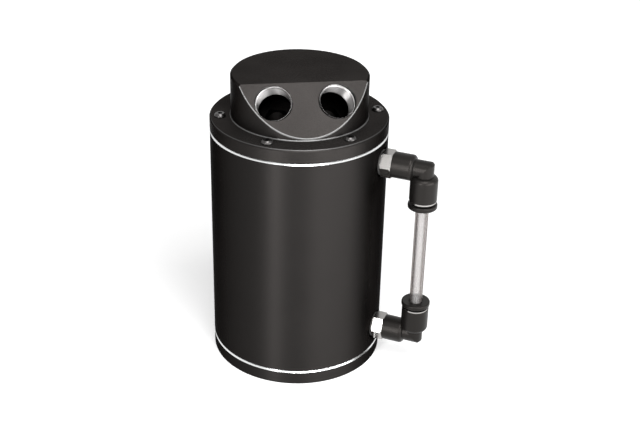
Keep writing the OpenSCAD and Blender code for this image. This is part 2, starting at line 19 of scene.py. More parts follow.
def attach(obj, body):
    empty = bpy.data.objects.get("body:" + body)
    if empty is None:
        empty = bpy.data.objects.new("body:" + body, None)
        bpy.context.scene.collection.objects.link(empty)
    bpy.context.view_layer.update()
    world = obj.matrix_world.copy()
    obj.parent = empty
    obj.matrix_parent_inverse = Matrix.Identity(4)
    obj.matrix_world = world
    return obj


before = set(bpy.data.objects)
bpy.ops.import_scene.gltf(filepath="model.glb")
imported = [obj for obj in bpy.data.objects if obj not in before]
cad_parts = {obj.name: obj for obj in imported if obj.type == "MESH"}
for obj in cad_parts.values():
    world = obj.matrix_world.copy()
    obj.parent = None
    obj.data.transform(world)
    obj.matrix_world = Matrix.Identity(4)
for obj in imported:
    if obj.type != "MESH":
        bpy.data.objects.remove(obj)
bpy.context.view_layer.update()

log = logging.getLogger("catch_can")

MM = 0.001

# Sizes of the machined pieces that the finishes and the threads follow
CAN_RADIUS = 42.5 * MM
TUBE_TOP = 119.5 * MM
BASE_RIM_TOP = 7.5 * MM
BRIGHT_CHAMFER = 1.0 * MM
FLANGE_TOP = 126.0 * MM
HEAD_TOP = 146.5 * MM
HEAD_RADIUS = 32.5 * MM
FACE_OFFSET = 13.0 * MM
FACE_ANGLE = math.radians(45)
PORT_RADIUS = 8.35 * MM
PORT_HALF_PITCH = 14.65 * MM
PORT_DROP = 9.7 * MM
PORT_SPLAY = math.radians(15)
PORT_CHAMFER = 0.4 * MM

Colour = tuple[float, float, float]
Rgba = tuple[float, float, float, float]
Grid = tuple[np.ndarray, np.ndarray, np.ndarray]


class Side(Enum):
    """The two hose ports, by the sign of their place along X."""

    INLET = 1
    OUTLET = -1


class Slot(Enum):
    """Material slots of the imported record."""

    BARE_ALUMINIUM = "bare_aluminium"


class Body(Enum):
    """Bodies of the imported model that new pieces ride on."""

    CAN = "can"


class Mixed(Enum):
    """What a Mix node mixes."""

    NUMBER = "FLOAT"
    VECTOR = "VECTOR"
    COLOUR = "RGBA"


def face_normal() -> Vector:
    """Returns the outward normal of the slanted face."""
    return Vector((0.0, -math.sin(FACE_ANGLE), math.cos(FACE_ANGLE)))


def mouth_centre(side: Side) -> Vector:
    """Finds where a port's axis meets the slanted face.

    Args:
        side: The port.

    Returns:
        The mouth's centre.
    """
    y = -(FACE_OFFSET + PORT_DROP * math.cos(FACE_ANGLE))
    z = HEAD_TOP - PORT_DROP * math.sin(FACE_ANGLE)
    return Vector((side.value * PORT_HALF_PITCH, y, z))


def port_axis(side: Side) -> Vector:
    """Finds the way out of a port, which is the face's normal turned about Z.

    Args:
        side: The port.

    Returns:
        A unit vector out of the mouth.
    """
    return Matrix.Rotation(side.value * PORT_SPLAY, 3, "Z") @ face_normal()


def opaque(colour: Colour, factor: float = 1.0) -> Rgba:
    """Scales a colour and adds full alpha, as a colour socket takes it.

    Args:
        colour: The colour.
        factor: What its numbers are multiplied by.

    Returns:
        The four numbers.
    """
    red, green, blue = (number * factor for number in colour)
    return red, green, blue, 1.0


# Camera and studio


@dataclass(frozen=True)
class PhotoCamera:
    """The camera at the photograph's viewing angle.

    Its pose was measured in a frame turned about Z so that the camera stands on -Y.
    """

    distance: float = 0.4944
    height: float = 0.3347
    pitch: float = math.radians(27.94)
    yaw: float = math.radians(1.25)
    roll: float = math.radians(1.36)
    turn: float = math.radians(-7.7)
    lens: float = 63.63
    sensor: float = 36.0
    nearest: float = 0.01

    def build(self) -> None:
        """Makes the camera and sets it on the scene."""
        forward = Vector((
            math.sin(self.yaw) * math.cos(self.pitch),
            math.cos(self.yaw) * math.cos(self.pitch),
            -math.sin(self.pitch),
        ))
        right = Vector((math.cos(self.yaw), -math.sin(self.yaw), 0.0))
        up = right.cross(forward)
        rolled_right = math.cos(self.roll) * right + math.sin(self.roll) * up
        rolled_up = math.cos(self.roll) * up - math.sin(self.roll) * right
        turned = Matrix((rolled_right, rolled_up, -forward)).transposed().to_4x4()
        place = Matrix.Translation((0.0, -self.distance, self.height))
        data = bpy.data.cameras.new("photo_camera")
        data.lens = self.lens
        data.sensor_width = self.sensor
        data.clip_start = self.nearest
        camera = bpy.data.objects.new("photo_camera", data)
        camera.matrix_world = Matrix.Rotation(self.turn, 4, "Z") @ place @ turned
        bpy.context.scene.collection.objects.link(camera)
        bpy.context.scene.camera = camera

    def azimuth(self) -> float:
        """Returns the camera's direction round the can, in radians from +X."""
        return math.radians(-90) + self.turn


@dataclass(frozen=True)
class SoftBox:
    """A soft rectangular lamp that looks at the can.

    The bearing runs to the right as the camera sees it, from the camera's own side.
    """

    name: str
    bearing: float
    elevation: float
    width: float
    height: float
    radiance: float
    distance: float = 0.7
    target: Colour = (0.0, 0.0, 0.075)

    def build(self, camera_azimuth: float) -> None:
        """Makes the lamp.

        Args:
            camera_azimuth: The camera's direction round the can, in radians.
        """
        azimuth = camera_azimuth + math.radians(self.bearing)
        rise = math.radians(self.elevation)
        out = Vector((
            math.cos(azimuth) * math.cos(rise),
            math.sin(azimuth) * math.cos(rise),
            math.sin(rise),
        ))
        data = bpy.data.lights.new(self.name, "AREA")
        data.shape = "RECTANGLE"
        data.size = self.width
        data.size_y = self.height
        data.energy = self.radiance * math.pi * self.width * self.height
        lamp = bpy.data.objects.new(self.name, data)
        lamp.location = Vector(self.target) + out * self.distance
        lamp.rotation_euler = (-out).to_track_quat("-Z", "Y").to_euler()
        lamp.visible_camera = False
        lamp.visible_transmission = False
        bpy.context.scene.collection.objects.link(lamp)


@dataclass(frozen=True)
class Studio:
    """White surroundings, a pale floor and soft lamps."""

    floor_size: float = 8.0
    floor_colour: Colour = (0.8, 0.8, 0.8)
    near_lift: float = 0.4
    far_lift: float = 0.88
    lift_from: float = 0.12
    lift_to: float = 0.4
    ambient: float = 0.15
    lamps: tuple[SoftBox, ...] = (
        SoftBox("overhead_box", bearing=14, elevation=60, width=0.4, height=0.35, radiance=10.0),
        SoftBox("left_strip", bearing=-27, elevation=12, width=0.12, height=0.5, radiance=20.5),
        SoftBox("right_box", bearing=44, elevation=12, width=0.78, height=0.5, radiance=6.3),
    )

    def build(self, camera_azimuth: float) -> None:
        """Makes the world, the floor and the lamps.

        Args:
            camera_azimuth: The camera's direction round the can, in radians.
        """
        self._world()
        self._floor()
        for lamp in self.lamps:
            lamp.build(camera_azimuth)

    @staticmethod
    def _white_rays(tree: "Tree") -> NodeSocket:
        """Finds the rays that see plain white: camera, glossy and transmission rays.

        Args:
            tree: The node tree to work in.

        Returns:
            A socket that is 1 for those rays and 0 for the others.
        """
        path = tree.add("ShaderNodeLightPath").outputs
        return tree.largest([
            path["Is Camera Ray"], path["Is Glossy Ray"], path["Is Transmission Ray"],
        ])

    def _world(self) -> None:
        """Makes a world that is white where it is seen and dimmer where it only lights."""
        world = bpy.data.worlds.new("studio_world")
        world.use_nodes = True
        bpy.context.scene.world = world
        tree = Tree(world.node_tree)
        tree.clear()
        strength = tree.maths(
            "MULTIPLY_ADD", self._white_rays(tree), 1.0 - self.ambient, self.ambient
        )
        background = tree.add(
            "ShaderNodeBackground", Color=opaque((1.0, 1.0, 1.0)), Strength=strength
        )
        output = tree.add("ShaderNodeOutputWorld")
        tree.link(background.outputs["Background"], output.inputs["Surface"])

    def _floor(self) -> None:
        """Makes the floor, lifted towards white where it is seen, with its shadow kept."""
        half = self.floor_size / 2
        corners = [(-half, -half, 0.0), (half, -half, 0.0), (half, half, 0.0), (-half, half, 0.0)]
        mesh = bpy.data.meshes.new("studio_floor")
        mesh.from_pydata(corners, [], [(0, 1, 2, 3)])
        floor = bpy.data.objects.new("studio_floor", mesh)
        bpy.context.scene.collection.objects.link(floor)
        material = bpy.data.materials.new("studio_floor")
        material.use_nodes = True
        tree = Tree(material.node_tree)
        tree.clear()
        place = tree.add("ShaderNodeTexCoord").outputs["Object"]
        distance = tree.vector("LENGTH", place, output="Value")
        lift = tree.ramp(distance, self.lift_from, self.lift_to, self.near_lift, self.far_lift)
        seen_lift = tree.maths("MULTIPLY", self._white_rays(tree), lift)
        diffuse = tree.add("ShaderNodeBsdfDiffuse", Color=opaque(self.floor_colour))
        emission = tree.add("ShaderNodeEmission", Strength=seen_lift)
        both = tree.add("ShaderNodeAddShader")
        tree.link(diffuse.outputs["BSDF"], both.inputs[0])
        tree.link(emission.outputs["Emission"], both.inputs[1])
        output = tree.add("ShaderNodeOutputMaterial")
        tree.link(both.outputs["Shader"], output.inputs["Surface"])
        mesh.materials.append(material)


# Node helpers


class Tree:
    """A short way to build one node tree."""

    def __init__(self, tree: NodeTree) -> None:
        """Keeps the tree.

        Args:
            tree: The node tree to build in.
        """
        self.tree = tree

    def clear(self) -> None:
        """Removes the tree's default nodes."""
        self.tree.nodes.clear()

    def add(self, kind: str, **values: object) -> Node:
        """Adds a node and sets its attributes, then its inputs, by name.

        Args:
            kind: The node's type name.
            **values: Attributes, and inputs with an underscore for a space.

        Returns:
            The new node.
        """
        node = self.tree.nodes.new(kind)
        inputs = {name: value for name, value in values.items() if not hasattr(node, name)}
        for name in values.keys() - inputs.keys():
            setattr(node, name, values[name])
        for name, value in inputs.items():
            self.put(value, node.inputs[name.replace("_", " ")])
        return node

    def link(self, source: NodeSocket, target: NodeSocket) -> None:
        """Joins an output to an input.

        Args:
            source: The output.
            target: The input.
        """
        self.tree.links.new(source, target)

    def put(self, value: object, target: NodeSocket) -> None:
        """Links a socket to an input, or sets a plain value on it.

        Args:
            value: A socket or a plain value.
            target: The input.
        """
        if isinstance(value, NodeSocket):
            self.link(value, target)
        else:
            target.default_value = value

    def maths(self, operation: str, *values: object) -> NodeSocket:
        """Adds a Math node.

        Args:
            operation: The node's operation.
            *values: Its inputs, as sockets or numbers.

        Returns:
            The result.
        """
        node = self.add("ShaderNodeMath", operation=operation)
        for target, value in zip(node.inputs, values):
            self.put(value, target)
        return node.outputs[0]

    def vector(self, operation: str, *values: object, output: str = "Vector") -> NodeSocket:
        """Adds a Vector Math node.

        Args:
            operation: The node's operation.
            *values: Its inputs, as sockets or vectors.
            output: Which output to return.

        Returns:
            The result.
        """
        node = self.add("ShaderNodeVectorMath", operation=operation)
        for target, value in zip(node.inputs, values):
            self.put(value, target)
        return node.outputs[output]

    def mix(self, kind: Mixed, factor: object, low: object, high: object) -> NodeSocket:
        """Adds a Mix node.

        Args:
            kind: What it mixes.
            factor: Socket or number from 0 to 1.
            low: The value at 0, as a socket or a plain value.
            high: The value at 1.

        Returns:
            The mixed value.
        """
        node = self.add("ShaderNodeMix", data_type=kind.value)
        enabled = [socket for socket in node.inputs if socket.enabled]
        for target, value in zip(enabled, (factor, low, high)):
            self.put(value, target)
        return next(socket for socket in node.outputs if socket.enabled)

    def vary(self, mask: NodeSocket, colour: Colour, share: float) -> NodeSocket:
        """Varies a colour with a mask.

        Args:
            mask: A socket from 0 to 1.
            colour: The colour at one half.
            share: How much darker it is at 0 and lighter at 1, as a share of itself.

        Returns:
            The colour.
        """
        return self.mix(Mixed.COLOUR, mask, opaque(colour, 1 - share), opaque(colour, 1 + share))

    def largest(self, values: list[NodeSocket]) -> NodeSocket:
        """Finds the largest of some masks.

        Args:
            values: The masks.

        Returns:
            The largest, or 0 where there are none.
        """
        largest = self.maths("ADD", 0.0, 0.0)
        for value in values:
            largest = self.maths("MAXIMUM", largest, value)
        return largest

    def ramp(
        self, value: NodeSocket, start: float, end: float, low: float = 0.0, high: float = 1.0
    ) -> NodeSocket:
        """Adds a smooth step.

        Args:
            value: What the step follows.
            start: Where it starts.
            end: Where it ends.
            low: The result up to the start.
            high: The result from the end.

        Returns:
            The result.
        """
        return self.add(
            "ShaderNodeMapRange", interpolation_type="SMOOTHSTEP", Value=value,
            From_Min=start, From_Max=end, To_Min=low, To_Max=high,
        ).outputs["Result"]

    def noise(self, place: NodeSocket, scale: NodeSocket, detail: float) -> NodeSocket:
        """Adds a noise.

        Args:
            place: The coordinates.
            scale: Its grains per metre.
            detail: Its number of finer layers.

        Returns:
            The noise, from 0 to 1.
        """
        node = self.add("ShaderNodeTexNoise", Vector=place, Scale=scale, Detail=detail)
        return node.outputs[0]

    def bump(
        self, height: NodeSocket, strength: NodeSocket, distance: NodeSocket, **base: NodeSocket
    ) -> NodeSocket:
        """Adds a Bump node.

        Args:
            height: The height, from 0 to 1.
            strength: How strong the relief is.
            distance: The relief's full height.
            **base: The Normal that it works on, where that isn't the surface's own.

        Returns:
            The normal.
        """
        return self.add(
            "ShaderNodeBump", Height=height, Strength=strength, Distance=distance, **base
        ).outputs["Normal"]

    def round_axis(self, place: NodeSocket) -> tuple[NodeSocket, NodeSocket]:
        """Splits a place into its distance from the Z axis and its height.

        Args:
            place: The coordinates.

        Returns:
            The distance and the height.
        """
        split = self.add("ShaderNodeSeparateXYZ", Vector=place)
        flat = self.add("ShaderNodeCombineXYZ", X=split.outputs["X"], Y=split.outputs["Y"])
        return self.vector("LENGTH", flat.outputs[0], output="Value"), split.outputs["Z"]

    def group(self, group: NodeTree, **values: object) -> Node:
        """Places a node group and sets its inputs by name.

        Args:
            group: The group.
            **values: Input values, with an underscore for a space.

        Returns:
            The group's node.
        """
        node = self.tree.nodes.new("ShaderNodeGroup")
        node.node_tree = group
        for name, value in values.items():
            self.put(value, node.inputs[name.replace("_", " ")])
        return node

    def mask(self, group: NodeTree, **values: object) -> NodeSocket:
        """Places a node group that makes a mask.

        Args:
            group: The group.
            **values: Input values, with an underscore for a space.

        Returns:
            The mask.
        """
        return self.group(group, **values).outputs["Mask"]


def new_group(
    name: str, inputs: dict[str, str], outputs: dict[str, str]
) -> tuple[Tree, Node, Node]:
    """Makes an empty shader group with named sockets.

    Args:
        name: The group's name.
        inputs: Socket names and kinds: Float, Vector or Color.
        outputs: The same for the outputs.

    Returns:
        The group's tree, its input node and its output node.
    """
    group = bpy.data.node_groups.new(name, "ShaderNodeTree")
    for direction, sockets in (("INPUT", inputs), ("OUTPUT", outputs)):
        for socket, kind in sockets.items():
            group.interface.new_socket(socket, in_out=direction, socket_type=f"NodeSocket{kind}")
    tree = Tree(group)
    return tree, tree.add("NodeGroupInput"), tree.add("NodeGroupOutput")


@dataclass
class Effects:
    """Shared surface effects, each a node group that is built once.

    The numbers say how the groups' noises and bumps follow the sizes given to them.
    """

    grain_detail: float = 3.0
    noise_detail: float = 2.0
    coarse_size: float = 4.0
    coarse_relief: float = 0.5
    broad_size: float = 60.0
    broad_shade: float = 0.6
    grain_height: float = 0.25
    ring_height: float = 0.2
    edge_gain: float = 2.5

    def __post_init__(self) -> None:
        """Builds every group."""
        self.grain = self._grain()
        self.rings = self._rings()
        self.band = self._band()
        self.disc = self._disc()
        self.cut_edge = self._cut_edge()

    def _grain(self) -> NodeTree:
        """Makes the fine even grain of a blasted or moulded surface.

        Two noises, one at the grain's size and one four times coarser, give the
        relief, and a broad one shifts the roughness.

        Returns:
            The group.
        """
        tree, given, made = new_group(
            "fine_grain",
            {
                "Vector": "Vector", "Grain": "Float", "Relief": "Float",
                "Roughness": "Float", "Spread": "Float",
            },
            {"Roughness": "Float", "Normal": "Vector", "Shade": "Float"},
        )
        place, size = given.outputs["Vector"], given.outputs["Grain"]
        per_metre = tree.maths("DIVIDE", 1.0, size)
        fine = tree.noise(place, per_metre, self.grain_detail)
        coarse = tree.noise(
            place, tree.maths("DIVIDE", per_metre, self.coarse_size), self.noise_detail
        )
        broad = tree.noise(
            place, tree.maths("DIVIDE", per_metre, self.broad_size), self.noise_detail
        )
        normal = tree.bump(
            tree.maths("MULTIPLY_ADD", coarse, self.coarse_relief, fine),
            given.outputs["Relief"],
            tree.maths("MULTIPLY", size, self.grain_height),
        )
        fine_part = tree.maths("MULTIPLY", fine, 1.0 - self.broad_shade)
        shade = tree.maths("MULTIPLY_ADD", broad, self.broad_shade, fine_part)
        centred = tree.maths("SUBTRACT", shade, 0.5)
        rough = tree.maths(
            "MULTIPLY_ADD", centred, given.outputs["Spread"], given.outputs["Roughness"]
        )
        for name, value in (("Roughness", rough), ("Normal", normal), ("Shade", shade)):
            tree.link(value, made.inputs[name])
        return tree.tree

    def _rings(self) -> NodeTree:
        """Makes the fine rings that a lathe leaves round the Z axis.

        A one-dimensional noise runs along radius plus height, so it rings both
        flat faces and walls.

        Returns:
            The group.
        """
        tree, given, made = new_group(
            "turned_rings",
            {"Vector": "Vector", "Pitch": "Float", "Relief": "Float", "Normal": "Vector"},
            {"Normal": "Vector"},
        )
        radius, height = tree.round_axis(given.outputs["Vector"])
        noise = tree.add(
            "ShaderNodeTexNoise", noise_dimensions="1D", Detail=self.noise_detail,
            W=tree.maths("ADD", radius, height),
            Scale=tree.maths("DIVIDE", 1.0, given.outputs["Pitch"]),
        )
        normal = tree.bump(
            noise.outputs[0],
            given.outputs["Relief"],
            tree.maths("MULTIPLY", given.outputs["Pitch"], self.ring_height),
            Normal=given.outputs["Normal"],
        )
        tree.link(normal, made.inputs["Normal"])
        return tree.tree

    def _band(self) -> NodeTree:
        """Makes a mask for a band of heights outside a radius round the Z axis.

        Returns:
            The group.
        """
        tree, given, made = new_group(
            "height_band",
            {"Vector": "Vector", "Low": "Float", "High": "Float", "Radius": "Float"},
            {"Mask": "Float"},
        )
        radius, height = tree.round_axis(given.outputs["Vector"])
        above = tree.maths("GREATER_THAN", height, given.outputs["Low"])
        below = tree.maths("LESS_THAN", height, given.outputs["High"])
        outside = tree.maths("GREATER_THAN", radius, given.outputs["Radius"])
        between = tree.maths("MULTIPLY", above, below)
        tree.link(tree.maths("MULTIPLY", between, outside), made.inputs["Mask"])
        return tree.tree

    def _disc(self) -> NodeTree:
        """Makes a mask for a short cylinder about a centre and an axis.

        Returns:
            The group.
        """
        tree, given, made = new_group(
            "round_spot",
            {
                "Vector": "Vector", "Centre": "Vector", "Axis": "Vector",
                "Radius": "Float", "Depth": "Float",
            },
            {"Mask": "Float"},
        )
        away = tree.vector("SUBTRACT", given.outputs["Vector"], given.outputs["Centre"])
        along = tree.vector("DOT_PRODUCT", away, given.outputs["Axis"], output="Value")
        whole = tree.vector("DOT_PRODUCT", away, away, output="Value")
        along_squared = tree.maths("MULTIPLY", along, along)
        across = tree.maths("SQRT", tree.maths("SUBTRACT", whole, along_squared))
        inside = tree.maths("LESS_THAN", across, given.outputs["Radius"])
        near = tree.maths("LESS_THAN", tree.maths("ABSOLUTE", along), given.outputs["Depth"])
        tree.link(tree.maths("MULTIPLY", inside, near), made.inputs["Mask"])
        return tree.tree

    def _cut_edge(self) -> NodeTree:
        """Makes a mask for the edge where a plane cuts a cylinder round the Z axis.

        The mask is 1 on the edge and fades to 0 at the given width on either side.

        Returns:
            The group.
        """
        tree, given, made = new_group(
            "cut_edge",
            {
                "Vector": "Vector", "Point": "Vector", "Axis": "Vector",
                "Radius": "Float", "Width": "Float",
            },
            {"Mask": "Float"},
        )
        away = tree.vector("SUBTRACT", given.outputs["Vector"], given.outputs["Point"])
        height = tree.vector("DOT_PRODUCT", away, given.outputs["Axis"], output="Value")
        radius, _ = tree.round_axis(given.outputs["Vector"])
        off_plane = tree.maths("ABSOLUTE", height)
        off_wall = tree.maths("ABSOLUTE", tree.maths("SUBTRACT", radius, given.outputs["Radius"]))
        farthest = tree.maths("MAXIMUM", off_plane, off_wall)
        share = tree.maths("DIVIDE", farthest, given.outputs["Width"])
        fade = tree.maths("SUBTRACT", 1.0, tree.maths("MINIMUM", share, 1.0))
        full = tree.maths("MINIMUM", tree.maths("MULTIPLY", fade, self.edge_gain), 1.0)
        tree.link(full, made.inputs["Mask"])
        return tree.tree


# Finishes


class Finish(Protocol):
    """Any finish, as the sub-assemblies use it."""

    def material(self, effects: Effects) -> Material:
        """Builds the finish."""
        ...


@dataclass(frozen=True, kw_only=True)
class Grained:
    """A Principled BSDF material with a fine grain in its roughness and its relief."""

    name: str
    roughness: float
    spread: float = 0.1
    grain: float = 0.5 * MM
    relief: float = 0.05

    def blank(self) -> tuple[Material, Tree, Node, NodeSocket]:
        """Makes a material with a Principled BSDF.

        Returns:
            The material, its tree, its shader node and the object coordinates.
        """
        material = bpy.data.materials.new(self.name)
        material.use_nodes = True
        tree = Tree(material.node_tree)
        tree.clear()
        shader = tree.add("ShaderNodeBsdfPrincipled")
        output = tree.add("ShaderNodeOutputMaterial")
        tree.link(shader.outputs["BSDF"], output.inputs["Surface"])
        return material, tree, shader, tree.add("ShaderNodeTexCoord").outputs["Object"]

    def place_grain(self, tree: Tree, effects: Effects, place: NodeSocket) -> Node:
        """Places the grain with this finish's values.

        Args:
            tree: The material's tree.
            effects: The shared effects.
            place: The object coordinates.

        Returns:
            The grain's node.
        """
        return tree.group(
            effects.grain, Vector=place, Grain=self.grain, Relief=self.relief,
            Roughness=self.roughness, Spread=self.spread,
        )

    def start(self, effects: Effects) -> tuple[Material, Tree, Node, NodeSocket]:
        """Makes the material and its grain.

        Args:
            effects: The shared effects.

        Returns:
            The material, its tree, its shader node and the grain's shade.
        """
        material, tree, shader, place = self.blank()
        grain = self.place_grain(tree, effects, place)
        tree.link(grain.outputs["Roughness"], shader.inputs["Roughness"])
        tree.link(grain.outputs["Normal"], shader.inputs["Normal"])
        return material, tree, shader, grain.outputs["Shade"]


@dataclass(frozen=True)
class BareAndHighlightRing:
    """A band of heights, outside a radius, that is bare metal at a share of 1 and a painted
    highlight line at smaller shares.
    """

    low: float
    high: float
    radius: float
    share: float = 1.0


@dataclass(frozen=True, kw_only=True)
class Anodised(Grained):
    """Satin black anodised aluminium over a fine blast, with bare machined edges and painted
    highlight lines.

    Masks say where the tool cut through to bare metal after anodising, where painted highlights
    lighten edges towards bare metal, and where painted shade darkens the ports' depths.
    """

    colour: Colour = (0.0225, 0.0208, 0.02)
    bare: Colour = (0.9, 0.91, 0.91)
    roughness: float = 0.52
    bare_roughness: float = 0.24
    spread: float = 0.12
    edge_tint: float = 0.3
    grain: float = 0.35 * MM
    relief: float = 0.12
    ring_pitch: float = 0.4 * MM
    ring_relief: float = 0.05
    shade: float = 0.14
    bare_and_highlight_rings: tuple[BareAndHighlightRing, ...] = ()
    mouths: tuple[Side, ...] = ()
    has_edge_highlight: bool = False
    anisotropy: float = 0.85
    turn: float = 0.25
    edge_width: float = 0.4 * MM
    # Shares of the bare colour mixed in as painted highlights, on the face's edge and on the port
    # mouths
    edge_highlight_share: float = 0.12
    mouth_highlight_share: float = 0.04
    # Painted shade in the bores: the share of the anodised colour kept there
    bore_shade_share: float = 0.1
    bore_from: float = 3.0 * MM
    bore_to: float = 17.0 * MM
    flats: tuple[float, ...] = ()
    flat_reach: float = 0.05 * MM

    def material(self, effects: Effects) -> Material:
        """Builds the finish.

        Args:
            effects: The shared effects.

        Returns:
            The material.
        """
        material, tree, shader, place = self.blank()
        grain = self.place_grain(tree, effects, place)
        rings = tree.group(
            effects.rings, Vector=place, Pitch=self.ring_pitch, Relief=self.ring_relief,
            Normal=grain.outputs["Normal"],
        )
        bare = self._bare_and_highlight_mask(tree, effects, place)
        bore = self._bore_shade_mask(tree, effects, place)
        dark = tree.vary(grain.outputs["Shade"], self.colour, self.shade)
        # Painted shade: the ports' drilled depths darkened to a share of the anodised colour
        dark = tree.mix(Mixed.COLOUR, bore, dark, opaque(self.colour, self.bore_shade_share))
        # Bare metal on the bright-cut chamfers; painted highlight lines where only a share of the
        # bare colour is mixed in
        colour = tree.mix(Mixed.COLOUR, bare, dark, opaque(self.bare))
        rough = tree.mix(
            Mixed.NUMBER, bare, grain.outputs["Roughness"], self.bare_roughness
        )
        tree.link(colour, shader.inputs["Base Color"])
        tree.link(rough, shader.inputs["Roughness"])
        tree.link(rings.outputs["Normal"], shader.inputs["Normal"])
        tree.link(self._tangent(tree, place), shader.inputs["Tangent"])
        shader.inputs["Metallic"].default_value = 1.0
        shader.inputs["Specular Tint"].default_value = opaque((self.edge_tint,) * 3)
        shader.inputs["Anisotropic"].default_value = self.anisotropy
        shader.inputs["Anisotropic Rotation"].default_value = self.turn
        return material

    def _tangent(self, tree: Tree, place: NodeSocket) -> NodeSocket:
        """Finds the way that the tool marks run: round the axis, or along X on flats.

        Args:
            tree: The material's tree.
            place: The object coordinates.

        Returns:
            The tangent.
        """
        round_z = tree.add("ShaderNodeTangent", direction_type="RADIAL", axis="Z")
        if not self.flats:
            return round_z.outputs["Tangent"]
        _, height = tree.round_axis(place)
        offsets = (tree.maths("SUBTRACT", height, level) for level in self.flats)
        on_flat = tree.largest([
            tree.maths("LESS_THAN", tree.maths("ABSOLUTE", offset), self.flat_reach)
            for offset in offsets
        ])
        return tree.mix(Mixed.VECTOR, on_flat, round_z.outputs["Tangent"], (1.0, 0.0, 0.0))

    def _bore_shade_mask(self, tree: Tree, effects: Effects, place: NodeSocket) -> NodeSocket:
        """Marks the drilled depths of the ports, for painted shade that darkens them.

        Args:
            tree: The material's tree.
            effects: The shared effects.
            place: The object coordinates.

        Returns:
            A mask from 0 to 1.
        """
        half = (self.bore_to - self.bore_from) / 2
        return tree.largest([
            tree.mask(
                effects.disc, Vector=place, Axis=port_axis(side),
                Centre=mouth_centre(side) - port_axis(side) * (self.bore_from + half),
                Radius=PORT_RADIUS + PORT_CHAMFER, Depth=half,
            )
            for side in self.mouths
        ])

    def _bare_and_highlight_mask(self, tree: Tree, effects: Effects, place: NodeSocket) -> NodeSocket:
        """Marks bare metal on the bright-cut rings, and painted highlights on the lid's lines,
        the port mouths and the slanted face's edge.

        Args:
            tree: The material's tree.
            effects: The shared effects.
            place: The object coordinates.

        Returns:
            A mask from 0 to 1.
        """
        masks = []
        # A share of 1 is bare metal; smaller shares are painted highlight lines
        for ring in self.bare_and_highlight_rings:
            mask = tree.mask(
                effects.band, Vector=place, Low=ring.low, High=ring.high, Radius=ring.radius
            )
            masks.append(tree.maths("MULTIPLY", mask, ring.share))
        # Painted highlight on the port mouths' chamfers
        for side in self.mouths:
            mask = tree.mask(
                effects.disc, Vector=place, Centre=mouth_centre(side), Axis=face_normal(),
                Radius=PORT_RADIUS + PORT_CHAMFER / 2, Depth=PORT_CHAMFER,
            )
            masks.append(tree.maths("MULTIPLY", mask, self.mouth_highlight_share))
        # Painted highlight along the slanted face's curved edge
        if self.has_edge_highlight:
            mask = tree.mask(
                effects.cut_edge, Vector=place, Point=(0.0, -FACE_OFFSET, HEAD_TOP),
                Axis=face_normal(), Radius=HEAD_RADIUS, Width=self.edge_width,
            )
            masks.append(tree.maths("MULTIPLY", mask, self.edge_highlight_share))
        return tree.largest(masks)


@dataclass(frozen=True, kw_only=True)
class Metal(Grained):
    """A bare or plated metal with a light grain."""

    colour: Colour
    shade: float = 0.08

    def material(self, effects: Effects) -> Material:
        """Builds the finish.

        Args:
            effects: The shared effects.

        Returns:
            The material.
        """
        material, tree, shader, shade = self.start(effects)
        tree.link(tree.vary(shade, self.colour, self.shade), shader.inputs["Base Color"])
        shader.inputs["Metallic"].default_value = 1.0
        return material


@dataclass(frozen=True, kw_only=True)
class CutThread(Grained):
    """A cut thread of bare metal, with painted shade that darkens its roots to near black and
    dims its crests.

    How bare or how shaded each place is comes from the piece's UV map.
    """

    crest: Colour = (0.9, 0.88, 0.87)
    # Painted shade: the near-black colour of the roots
    root_shade: Colour = (0.008, 0.0075, 0.0075)
    roughness: float = 0.32

    def material(self, effects: Effects) -> Material:
        """Builds the finish.

        Args:
            effects: The shared effects.

        Returns:
            The material.
        """
        material, tree, shader, _ = self.start(effects)
        map_place = tree.add("ShaderNodeTexCoord").outputs["UV"]
        bare = tree.add("ShaderNodeSeparateXYZ", Vector=map_place).outputs["X"]
        # Painted shade: 0 gives the near-black roots, 1 the bare crest colour
        colour = tree.mix(Mixed.COLOUR, bare, opaque(self.root_shade), opaque(self.crest))
        tree.link(colour, shader.inputs["Base Color"])
        shader.inputs["Metallic"].default_value = 1.0
        return material


@dataclass(frozen=True, kw_only=True)
class Moulded(Grained):
    """A moulded plastic or rubber with a satin skin."""

    colour: Colour
    spread: float = 0.15
    grain: float = 0.3 * MM
    relief: float = 0.15
    shade: float = 0.12
    gloss: float = 0.5
    gloss_tint: Colour = (1.0, 0.93, 0.88)

    def material(self, effects: Effects) -> Material:
        """Builds the finish.

        Args:
            effects: The shared effects.

        Returns:
            The material.
        """
        material, tree, shader, shade = self.start(effects)
        tree.link(tree.vary(shade, self.colour, self.shade), shader.inputs["Base Color"])
        shader.inputs["Specular IOR Level"].default_value = self.gloss
        shader.inputs["Specular Tint"].default_value = opaque(self.gloss_tint)
        return material


@dataclass(frozen=True, kw_only=True)
class ClearPlastic(Grained):
    """Clear, slightly milky plastic, with painted shade that greys it where its wall is seen edge
    on.
    """

    colour: Colour = (0.74, 0.725, 0.72)
    # Painted shade: the grey where the wall is seen edge on
    edge_on_shade_colour: Colour = (0.3, 0.275, 0.265)
    edge_from: float = 0.12
    edge_to: float = 0.42
    roughness: float = 0.12
    spread: float = 0.08
    grain: float = 0.6 * MM
    index: float = 1.16
    gloss: float = 0.3
    clearness: float = 0.84

    def material(self, effects: Effects) -> Material:
        """Builds the finish.

        Args:
            effects: The shared effects.

        Returns:
            The material.
        """
        material, tree, shader, _ = self.start(effects)
        facing = tree.add("ShaderNodeLayerWeight", Blend=0.5).outputs["Facing"]
        edge = tree.ramp(facing, self.edge_from, self.edge_to)
        # Painted shade: greyer towards the edges where the wall is seen edge on
        colour = tree.mix(Mixed.COLOUR, edge, opaque(self.colour), opaque(self.edge_on_shade_colour))
        tree.link(colour, shader.inputs["Base Color"])
        shader.inputs["Transmission Weight"].default_value = self.clearness
        shader.inputs["IOR"].default_value = self.index
        shader.inputs["Specular IOR Level"].default_value = self.gloss
        return material


# New pieces


